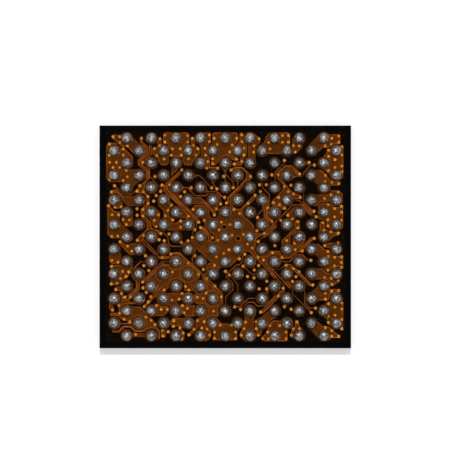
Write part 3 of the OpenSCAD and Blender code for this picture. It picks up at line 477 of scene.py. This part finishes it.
filmLook = dict(dark=(0.006, 0.0022, 0.0006), light=(0.016, 0.006, 0.0016), edge=0.3, cover=(0.08, 0.16),
                rough=(0.22, 0.34), gloss=0.02, patch=3000.0, grain=50000.0, share=0.4,
                relief=0.2, deep=micron)


def filmFinish():
    made, tree, shader = material("amberFilm")
    look = filmLook
    value = placeMottle(tree, look)
    tree.links.new(mottleRamp(tree, value, look, look["edge"]), shader.inputs["Base Color"])
    tree.links.new(span(tree, value, *look["cover"]), shader.inputs["Alpha"])
    tree.links.new(span(tree, value, *look["rough"]), shader.inputs["Roughness"])
    shader.inputs["Specular IOR Level"].default_value = look["gloss"]
    bump(tree, shader, value, look)
    return made


darkLook = dict(share=0.55, edge=0.3, relief=0.3, deep=micron)
# painted shade: the floor of a drop's pit is coloured darker than the copper round it, for the shade in the recess
pitShadeLook = dict(dark=(0.03, 0.008, 0.001), light=(0.09, 0.028, 0.004), rough=(0.4, 0.5),
               patch=9000.0, grain=60000.0, gloss=0.02)
# near-black: on the beads along the copper outlines it is painted shade at the copper's step; on the beds under the
# fine traces it is the dark film between them
wallLook = dict(dark=(0.003, 0.001, 0.0004), light=(0.012, 0.004, 0.001), rough=(0.4, 0.5),
                patch=9000.0, grain=60000.0, gloss=0.02)
groundLook = dict(dark=(0.0015, 0.0009, 0.0003), light=(0.0056, 0.0031, 0.0010), rough=(0.35, 0.5),
                  patch=2500.0, grain=50000.0, gloss=0.01)
coatingLook = dict(dark=(0.0035, 0.0034, 0.0034), light=(0.009, 0.0088, 0.0086), rough=(0.5, 0.7),
                   patch=6000.0, grain=90000.0, gloss=0.25, deep=4 * micron)


def darkFinish(name, special):
    made, tree, shader = material(name)
    look = {**darkLook, **special}
    value = placeMottle(tree, look)
    tree.links.new(mottleRamp(tree, value, look, look["edge"]), shader.inputs["Base Color"])
    tree.links.new(span(tree, value, *look["rough"]), shader.inputs["Roughness"])
    shader.inputs["Specular IOR Level"].default_value = look["gloss"]
    bump(tree, shader, value, look)
    return made


siliconLook = dict(dark=(0.0010, 0.0009, 0.0013), light=(0.0022, 0.0020, 0.0026), edge=0.3, rough=(0.3, 0.45),
                   patch=2500.0, grain=45000.0, share=0.5, gloss=0.008, relief=0.15, deep=2 * micron)
sawLook = dict(dark=(0.018, 0.018, 0.020), light=(0.075, 0.075, 0.08), edge=0.3,
               stretch=(3000.0, 3000.0, 90000.0), detail=4.0, rough=0.65)


def siliconFinish():
    # black and smooth on top, grey with saw marks along the sides
    made, tree, shader = material("sawnSilicon")
    look = siliconLook
    value = placeMottle(tree, look)
    coordinates = tree.nodes.new("ShaderNodeTexCoord")
    stretch = add(tree, "ShaderNodeMapping", Scale=sawLook["stretch"])
    marks = add(tree, "ShaderNodeTexNoise", Scale=1.0, Detail=sawLook["detail"], Roughness=sawLook["rough"])
    tree.links.new(coordinates.outputs["Object"], stretch.inputs["Vector"])
    tree.links.new(stretch.outputs["Vector"], marks.inputs["Vector"])
    side = mottleRamp(tree, marks.outputs[0], sawLook, sawLook["edge"])
    top = mottleRamp(tree, value, look, look["edge"])
    level = compute(tree, "ABSOLUTE", heightOf(tree, coordinates.outputs["Normal"]))
    tree.links.new(blend(tree, level, side, top), shader.inputs["Base Color"])
    tree.links.new(span(tree, value, *look["rough"]), shader.inputs["Roughness"])
    shader.inputs["Specular IOR Level"].default_value = look["gloss"]
    bump(tree, shader, marks.outputs[0], look)
    return made


copperFinish = metalFinish("filmedCopper", copperLook)
edgeHighlightFinish = metalFinish("copperEdgePaintedHighlight", edgeHighlightLook, dimmed=True)
ringHighlightFinish = metalFinish("landRingPaintedHighlight", ringHighlightLook, dimmed=True)
dropHighlightFinish = metalFinish("dropPaintedHighlight", dropHighlightLook, dimmed=True)
tipHighlightFinish = metalFinish("tipPaintedHighlight", tipHighlightLook, dimmed=True)
platingFinish = metalFinish("padPlating", platingLook)
aluminiumFinish = metalFinish("diePadMetal", aluminiumLook)
pitShadeFinish = darkFinish("dropPitShade", pitShadeLook)
wallFinish = darkFinish("copperWall", wallLook)
groundFinish = darkFinish("groundFilm", groundLook)
coatingFinish = darkFinish("blackCoating", coatingLook)
solder = solderFinish()
film = filmFinish()
print("finishes made")


def finishNode(name, finish):
    mesh = nodes[name].data
    mesh.materials.clear()
    mesh.materials.append(finish)


finishNode("back_coating", coatingFinish)
finishNode("silicon_die", siliconFinish())
finishNode("die_pads", aluminiumFinish)
finishNode("lower_film", groundFinish)
for name in copperNodes:
    finishNode(name, copperFinish)
for name in padRows:
    finishNode(name, platingFinish)


ballPlan = dict(kinds=5, detail=4, skin=micron, dimple=16 * micron, wave=36 * micron, crease=50.0,
                apart=3, seed=11)


def modelBall(index):
    # one reflowed ball: a round drop, dimpled. Bisect's own threshold is 0.1 mm, so the cut leaves
    # the lower cap on and adds faces near the middle
    plan = ballPlan
    away = Vector((index * plan["apart"] * ballRadius, 0, 0))  # each kind elsewhere, for other dimples
    deselectAll()
    bpy.ops.mesh.primitive_ico_sphere_add(
        subdivisions=plan["detail"], radius=ballRadius - plan["skin"], location=away
    )
    ball = bpy.context.object
    settle(ball)
    clouds = bpy.data.textures.new("dimples", "CLOUDS")
    clouds.noise_scale = plan["wave"]
    clouds.noise_depth = 1
    press = ball.modifiers.new("press", "DISPLACE")
    press.texture = clouds
    press.texture_coords = "LOCAL"
    press.mid_level = 1.0  # inwards only
    press.strength = plan["dimple"]
    bpy.ops.object.modifier_apply(modifier=press.name)
    editAll(ball)
    bpy.ops.transform.translate(value=-away)
    bpy.ops.mesh.bisect(
        plane_co=(0, 0, ballFoot - (ballTop - ballRadius)),
        plane_no=(0, 0, 1),
        clear_inner=True,
        use_fill=True,
    )
    bpy.ops.object.mode_set(mode="OBJECT")
    bpy.ops.object.shade_smooth_by_angle(angle=math.radians(plan["crease"]))
    ball.name = "ballKind%d" % index
    return ball


def placeBalls():
    kinds = [modelBall(i) for i in range(ballPlan["kinds"])]
    choose = random.Random(ballPlan["seed"])
    centre = ballTop - ballRadius
    for name in ballRows:
        row = []
        for place in ballPlaces[name]:
            ball = copyOf(choose.choice(kinds), "ball")
            turn = Matrix.Rotation(choose.uniform(0, 2 * math.pi), 4, "Z")
            ball.data.transform(Matrix.Translation((place.x, place.y, centre)) @ turn)
            row.append(ball)
        whole = joined(row, "balls" + name[-1].upper())
        dress(whole, "solder", solder)
        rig.replaces(whole, name)
    for kind in kinds:
        bpy.data.objects.remove(kind)


placeBalls()
print("balls placed")


def beadProfile(width, height):
    # a low six-sided section with its ridge on top
    deselectAll()
    bpy.ops.mesh.primitive_circle_add(vertices=6, radius=0.5, fill_type="NOTHING", location=(0, 0, 0))
    profile = bpy.context.object
    profile.data.transform(Matrix.Diagonal((width, height, 1, 1)))
    return converted(profile, "CURVE")


def bandProfile(width, height):
    # a plain rectangle
    deselectAll()
    bpy.ops.mesh.primitive_plane_add(size=1, location=(0, 0, 0))
    profile = bpy.context.object
    profile.data.transform(Matrix.Diagonal((width, height, 1, 1)))
    editAll(profile)
    bpy.ops.mesh.delete(type="ONLY_FACE")
    bpy.ops.object.mode_set(mode="OBJECT")
    return converted(profile, "CURVE")


def swept(line, profile, rise, merge=0.0):
    # the profile drawn along a curve, as a mesh: without a merge its end caps stay loose
    line.data.dimensions = "3D"
    line.data.twist_mode = "Z_UP"
    line.data.bevel_mode = "OBJECT"
    line.data.bevel_object = profile
    piece = converted(line, "MESH")
    bpy.data.objects.remove(profile)
    piece.data.transform(Matrix.Translation((0, 0, rise)))
    editAll(piece)
    if merge:
        bpy.ops.mesh.remove_doubles(threshold=merge)
    bpy.ops.mesh.normals_make_consistent(inside=False)
    bpy.ops.object.mode_set(mode="OBJECT")
    return piece


def topOutline(name, inset):
    # the outline of the top of a stretch of copper, as bare edges
    outline = copyOf(nodes[name], "outline_" + name)
    keepTop(outline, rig.box(name)[1].z)
    bpy.ops.mesh.select_all(action="SELECT")
    if inset:
        bpy.ops.mesh.inset(thickness=inset, use_boundary=True, use_even_offset=True)
    bpy.ops.mesh.region_to_loop()
    bpy.ops.mesh.select_all(action="INVERT")
    bpy.ops.mesh.delete(type="EDGE")
    bpy.ops.mesh.select_all(action="SELECT")
    bpy.ops.mesh.delete(type="ONLY_FACE")
    bpy.ops.object.mode_set(mode="OBJECT")
    return outline


glowPlan = dict(reach=195 * micron, rays=16, near=152 * micron, far=180 * micron, least=0.17, gain=0.43,
                toward=-45.0, lift=0.6, seed=5, spread=0.25)
rayStart = filmTop + 1000 * micron


def copperTrees():
    trees = []
    for name in copperNodes:
        data = nodes[name].data
        corners = [corner.co.copy() for corner in data.vertices]
        trees.append(BVHTree.FromPolygons(corners, [tuple(face.vertices) for face in data.polygons]))
    return trees


def copperRound(trees, place, reach, rays):
    # how many of the rays sent down round a place meet copper
    hits = 0
    for i in range(rays):
        turn = 2 * math.pi * i / rays
        start = Vector((place.x + reach * math.cos(turn), place.y + reach * math.sin(turn), rayStart))
        found = [tree.ray_cast(start, Vector((0, 0, -1)))[0] for tree in trees]
        hits += any(point is not None for point in found)
    return hits


def surveyLands():
    # each ball's place, with the light that its land gets: less where no plane lies round it
    plan = glowPlan
    choose = random.Random(plan["seed"])
    places = [place for name in ballRows for place in ballPlaces[name]]
    finder = KDTree(len(places))
    lit = []
    for i, place in enumerate(places):
        finder.insert((place.x, place.y, 0), i)
        share = copperRound(trees, place, plan["reach"], plan["rays"]) / plan["rays"]
        lit.append((plan["least"] + plan["gain"] * share) * (1 + choose.uniform(-1, 1) * plan["spread"]))
    finder.balance()
    return finder, lit


def markGlow(piece):
    # 1 in the open, less in the shade of a ball, most of it left on the side away from the sun
    plan = glowPlan
    toward = math.radians(plan["toward"])
    mark = piece.data.attributes.new("glow", "FLOAT", "POINT")
    for corner, value in zip(piece.data.vertices, mark.data):
        middle, index, away = finder.find((corner.co.x, corner.co.y, 0))
        clear = min(max((away - plan["near"]) / (plan["far"] - plan["near"]), 0), 1)
        turn = math.atan2(corner.co.y - middle.y, corner.co.x - middle.x) - toward
        dim = lit[index] * (1 + plan["lift"] * max(math.cos(turn), 0))
        value.value = dim + (1 - dim) * clear


trees = copperTrees()
finder, lit = surveyLands()


rimPlan = dict(width=17 * micron, inset=13 * micron, sink=1.0 * micron, wallWidth=29 * micron,
               wallSink=3.0 * micron, height=10 * micron, merge=weld / 4, crease=60.0)


def modelRim(name, part, inset, width, sink, finish):
    line = converted(topOutline(name, inset), "CURVE")
    rim = swept(line, beadProfile(width, rimPlan["height"]), -sink, rimPlan["merge"])
    bpy.ops.object.shade_smooth_by_angle(angle=math.radians(rimPlan["crease"]))
    rim.name = part + "_" + name
    rim.data.name = rim.name
    markGlow(rim)
    return dress(rim, "copper", finish)


def placeRims():
    plan = rimPlan
    faces = 0
    # bright beads just inside each copper outline, coloured with a painted highlight
    for name in copperNodes:
        rim = modelRim(name, "rim", plan["inset"], plan["width"], plan["sink"], edgeHighlightFinish)
        faces += len(rim.data.polygons)
    # near-black beads on each copper outline: the copper's step, coloured with painted shade
    for name in copperNodes:
        modelRim(name, "wall", 0, plan["wallWidth"], plan["wallSink"], wallFinish)
    return faces


print("rims along the copper:", placeRims(), "faces")


busPlan = dict(pitch=0.17, width=26 * micron, height=10 * micron, sink=1.0 * micron,
               bed=10.6 * micron, bedRise=0.6 * micron)
busRuns = [  # how many traces, then the way of the middle of the bundle in steps of the grid
    (2, [(2.92, 0.62), (2.92, 1.28), (2.13, 1.92), (2.1, 2.15), (2.74, 2.74), (2.74, 3.35)]),
    (2, [(5.32, 2.8), (4.25, 3.75)]),
    (2, [(4.14, 3.78), (4.14, 4.2), (5.35, 5.38)]),
    (2, [(4.42, 3.9), (4.42, 4.2), (5.0, 4.8)]),
    (3, [(4.6, 4.5), (5.5, 5.35)]),
    (3, [(5.42, 5.36), (6.68, 6.62)]),
    (2, [(8.32, 4.42), (8.66, 4.76)]),
    (2, [(7.15, 5.05), (8.08, 5.98)]),
    (2, [(9.35, 5.3), (9.35, 4.82), (10.42, 3.8)]),
    (2, [(12.12, 5.68), (12.62, 5.24)]),
    (2, [(12.28, 5.75), (12.28, 6.35), (12.62, 6.72)]),
    (2, [(13.08, 7.1), (12.3, 7.85)]),
    (3, [(15.25, 5.36), (16.02, 6.12)]),
    (2, [(13.55, 2.38), (13.16, 2.76)]),
    (2, [(14.4, 2.5), (14.94, 2.98)]),
    (2, [(2.35, 8.35), (3.42, 9.42)]),
    (2, [(3.95, 10.05), (2.42, 11.55)]),
    (2, [(1.93, 11.5), (1.93, 12.25), (1.25, 12.88)]),
    (3, [(4.3, 11.35), (3.1, 12.62)]),
    (4, [(6.98, 8.86), (8.06, 9.84)]),
    (2, [(7.15, 7.32), (7.62, 7.74), (7.74, 7.95), (7.74, 8.42)]),
    (2, [(5.95, 10.0), (6.98, 11.02)]),
    (2, [(7.2, 11.25), (8.5, 12.55)]),
    (2, [(6.12, 11.84), (6.78, 12.5)]),
    (2, [(12.68, 10.9), (13.1, 11.34)]),
    (2, [(13.86, 11.65), (14.3, 12.12)]),
    (2, [(14.62, 10.62), (15.78, 11.78)]),
    (2, [(16.0, 8.15), (14.98, 9.2)]),
    (2, [(13.22, 12.88), (12.0, 14.1)]),
]


def atStep(place):
    return Vector((gridLeft + place[0] * step, rowHeights[-1] - place[1] * step, 0))


def beside(points, reach):
    # the same way, shifted sideways, with its corners mitred
    shifted = []
    for i, point in enumerate(points):
        before = (points[max(i, 1)] - points[max(i - 1, 0)]).normalized()
        after = (points[min(i + 1, len(points) - 1)] - points[min(i, len(points) - 2)]).normalized()
        across = Vector((-before.y - after.y, before.x + after.x, 0))
        shifted.append(point + across * (2 * reach / across.length_squared))
    return shifted


def drawRuns(name, runs):
    line = bpy.data.curves.new(name, "CURVE")
    line.dimensions = "3D"
    line.use_fill_caps = True
    for points in runs:
        spline = line.splines.new("POLY")
        spline.points.add(len(points) - 1)
        for knot, point in zip(spline.points, points):
            knot.co = (*point, 1)
    piece = bpy.data.objects.new(name, line)
    bpy.context.scene.collection.objects.link(piece)
    return piece


def placeBuses():
    # dark beds, with the fine traces on them
    plan = busPlan
    pitch = plan["pitch"] * step
    lines = []
    beds = []
    for count, places in busRuns:
        way = [atStep(place) for place in places]
        lines += [beside(way, (i - (count - 1) / 2) * pitch) for i in range(count)]
        band = bandProfile(count * pitch, plan["bed"])
        beds.append(swept(drawRuns("bed", [way]), band, copperTop + plan["bedRise"] - plan["bed"] / 2))
    dress(joined(beds, "busBeds"), "copper", wallFinish)
    bead = beadProfile(plan["width"], plan["height"])
    traces = swept(drawRuns("busTraces", lines), bead, copperTop - plan["sink"])
    markGlow(traces)
    # the fine traces carry the same painted highlight as the copper rims
    dress(traces, "copper", edgeHighlightFinish)


placeBuses()
print("fine traces placed")


filmPlan = dict(thick=6 * micron)


def placeFilm():
    sheet = copyOf(nodes["upper_film"], "clearFilm")
    keepTop(sheet, filmTop)
    bpy.ops.object.mode_set(mode="OBJECT")
    body = sheet.modifiers.new("body", "SOLIDIFY")
    body.thickness = filmPlan["thick"]
    body.offset = -1
    bpy.ops.object.modifier_apply(modifier=body.name)
    dress(sheet, "upper_film", film)
    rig.replaces(sheet, "upper_film")


placeFilm()
print("film placed")


ringPlan = dict(inner=6 * micron, crest=14 * micron, outer=18 * micron, rise=7 * micron, segments=32)


def modelRing():
    # a band that slopes up and outwards round the foot of a ball, then drops back: open below, and
    # its faces look down
    plan = ringPlan
    reach = ballRadius + plan["inner"]
    turns = (
        (ballRadius + plan["crest"], plan["rise"]),
        (ballRadius + plan["outer"], -plan["rise"]),
    )
    deselectAll()
    bpy.ops.mesh.primitive_circle_add(
        vertices=plan["segments"], radius=reach, fill_type="NOTHING", location=(0, 0, 0)
    )
    ring = bpy.context.object
    editAll(ring)
    for radius, height in turns:
        bpy.ops.mesh.extrude_edges_move(TRANSFORM_OT_translate={"value": (0, 0, height)})
        bpy.ops.transform.resize(value=(radius / reach, radius / reach, 1))
        reach = radius
    bpy.ops.mesh.select_all(action="SELECT")
    bpy.ops.mesh.normals_make_consistent(inside=False)
    bpy.ops.object.mode_set(mode="OBJECT")
    return ring


def placeRings():
    ring = modelRing()
    rings = []
    for name in ballRows:
        for place in ballPlaces[name]:
            twin = copyOf(ring, "ring")
            twin.data.transform(Matrix.Translation((place.x, place.y, copperTop)))
            rings.append(twin)
    bpy.data.objects.remove(ring)
    whole = joined(rings, "landRings")
    markGlow(whole)
    # the rings are coloured with a painted highlight
    dress(whole, "copper", ringHighlightFinish)


placeRings()
print("rings placed")


dropPlan = dict(radius=31 * micron, crest=24 * micron, pit=13 * micron, rise=4.0 * micron, segments=14,
                ridge=0.45, peak=0.1, bowl=0.7, pitted=0.2, glow=(0.84, 1.2),
                reach=56 * micron, rays=16, least=1, most=6, seed=3)


def dropPlaces():
    # one place for each loose disc of the die pads
    discs = copyOf(nodes["die_pads"], "discs")
    mesh = bmesh.new()
    mesh.from_mesh(discs.data)
    bmesh.ops.remove_doubles(mesh, verts=mesh.verts, dist=weld)
    places = []
    seen = set()
    for first in mesh.verts:
        if first in seen:
            continue
        island, queue = [], [first]
        seen.add(first)
        while queue:
            corner = queue.pop()
            island.append(corner.co.copy())
            for edge in corner.link_edges:
                other = edge.other_vert(corner)
                if other not in seen:
                    seen.add(other)
                    queue.append(other)
        low = Vector([min(point[i] for point in island) for i in range(3)])
        high = Vector([max(point[i] for point in island) for i in range(3)])
        places.append((low + high) / 2)
    mesh.free()
    bpy.data.objects.remove(discs)
    return sorted(places, key=lambda place: (round(place.y, 7), round(place.x, 7)))


def modelDrop():
    # a low dome with a rounded ridge and a shallow pit, open below
    plan = dropPlan
    slope = plan["crest"] - plan["pit"]
    steps = (
        (plan["radius"] - plan["crest"], plan["rise"]),
        (slope * plan["ridge"], plan["rise"] * plan["peak"]),
        (slope * (1 - plan["ridge"]), -plan["rise"] * plan["bowl"]),
    )
    deselectAll()
    bpy.ops.mesh.primitive_circle_add(
        vertices=plan["segments"], radius=plan["radius"], fill_type="NGON", location=(0, 0, 0)
    )
    drop = bpy.context.object
    pick(drop)
    bpy.ops.object.mode_set(mode="EDIT")
    bpy.ops.mesh.select_mode(type="FACE")
    bpy.ops.mesh.select_all(action="SELECT")
    for inward, rise in steps:
        bpy.ops.mesh.inset(thickness=inward)
        bpy.ops.transform.translate(value=(0, 0, rise))
    bpy.ops.object.mode_set(mode="OBJECT")
    bpy.ops.object.shade_smooth()
    return drop


def endsTrace(place):
    # true where little copper lies round a drop, but some: the end of a trace
    plan = dropPlan
    return plan["least"] <= copperRound(trees, place, plan["reach"], plan["rays"]) <= plan["most"]


def placeDrops():
    shape = modelDrop()
    choose = random.Random(dropPlan["seed"])
    closed, opened = [], []
    for place in dropPlaces():
        twin = copyOf(shape, "drop")
        twin.data.transform(Matrix.Translation((place.x, place.y, copperTop)))
        mark = twin.data.attributes.new("glow", "FLOAT", "POINT")
        mark.data.foreach_set("value", [choose.uniform(*dropPlan["glow"])] * len(mark.data))
        pitted = choose.random() < dropPlan["pitted"]
        (opened if pitted or endsTrace(place) else closed).append(twin)
    bpy.data.objects.remove(shape)
    print("drops in planes and at trace ends:", len(closed), len(opened))
    # the drops are coloured with a painted highlight, and the floors of their pits with painted shade
    dress(joined(closed, "planeDrops"), "copper", dropHighlightFinish)
    ends = joined(opened, "endDrops")
    dress(ends, "copper", tipHighlightFinish, pitShadeFinish)
    for face in ends.data.polygons:
        if len(face.vertices) > 4:
            face.material_index = 1  # the floor of the pit


placeDrops()
print("drops placed")


def cameraWhite(tree):
    # 1 for rays that show the background: from the camera, or off or through the object
    path = tree.nodes.new("ShaderNodeLightPath")
    direct = compute(tree, "MAXIMUM", path.outputs["Is Camera Ray"], path.outputs["Is Glossy Ray"])
    return compute(tree, "MAXIMUM", direct, path.outputs["Is Transmission Ray"])


floorPlan = dict(size=0.6, tone=(0.8, 0.8, 0.8, 1), rough=0.9, glow=0.375)
lightPlan = dict(world=0.32, sun=0.40, sunTilt=24.0, sunSize=3.0, lamp=0.075, lampTilt=30.0,
                 lampAway=0.04, lampSize=0.0127, lamps=4)
white = (1, 1, 1, 1)


def placeFloor():
    plan = floorPlan
    deselectAll()
    bpy.ops.mesh.primitive_plane_add(size=plan["size"], location=(0, 0, cadLow.z))
    floor = bpy.context.object
    floor.name = "floor"
    made, tree, shader = material("paleFloor")
    shader.inputs["Base Color"].default_value = plan["tone"]
    shader.inputs["Roughness"].default_value = plan["rough"]
    shader.inputs["Specular IOR Level"].default_value = 0.0
    shader.inputs["Emission Color"].default_value = white
    glow = compute(tree, "MULTIPLY", cameraWhite(tree), plan["glow"])
    tree.links.new(glow, shader.inputs["Emission Strength"])
    floor.data.materials.append(made)
    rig.stage(floor)


def lightWorld():
    world = bpy.data.worlds.new("studio")
    bpy.context.scene.world = world
    world.use_nodes = True
    tree = world.node_tree
    sky = tree.nodes["Background"]
    sky.inputs["Color"].default_value = white
    strength = span(tree, cameraWhite(tree), lightPlan["world"], 1.0, 0.0, 1.0)
    tree.links.new(strength, sky.inputs["Strength"])


def placeLamps():
    sun = bpy.data.lights.new("sun", "SUN")
    sun.energy = lightPlan["sun"] * math.pi
    sun.angle = math.radians(lightPlan["sunSize"])
    lamp = bpy.data.objects.new("sun", sun)
    lamp.rotation_euler = (-math.radians(lightPlan["sunTilt"]), 0, 0)  # from beyond the top edge
    bpy.context.scene.collection.objects.link(lamp)
    tilt = math.radians(lightPlan["lampTilt"])
    away = lightPlan["lampAway"]
    for i in range(lightPlan["lamps"]):
        turn = 2 * math.pi * (i + 0.5) / lightPlan["lamps"]
        box = bpy.data.lights.new("softbox%d" % i, "AREA")
        box.shape = "SQUARE"
        box.size = lightPlan["lampSize"]
        box.energy = math.pi ** 2 * lightPlan["lamp"] * away ** 2 / math.cos(tilt)
        lamp = bpy.data.objects.new(box.name, box)
        flat = away * math.sin(tilt)
        lamp.location = (flat * math.cos(turn), flat * math.sin(turn), away * math.cos(tilt))
        lamp.rotation_mode = "QUATERNION"
        lamp.rotation_quaternion = lamp.location.to_track_quat("Z", "Y")
        lamp.visible_camera = False
        bpy.context.scene.collection.objects.link(lamp)


placeFloor()
lightWorld()
placeLamps()
bpy.context.scene.view_settings.view_transform = "Standard"
print("stage and lamps placed")

shownLow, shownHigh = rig.bounds()
with open("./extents.json", "w") as file:
    json.dump(dict(cad=[list(cadLow), list(cadHigh)], shown=[list(shownLow), list(shownHigh)]), file)
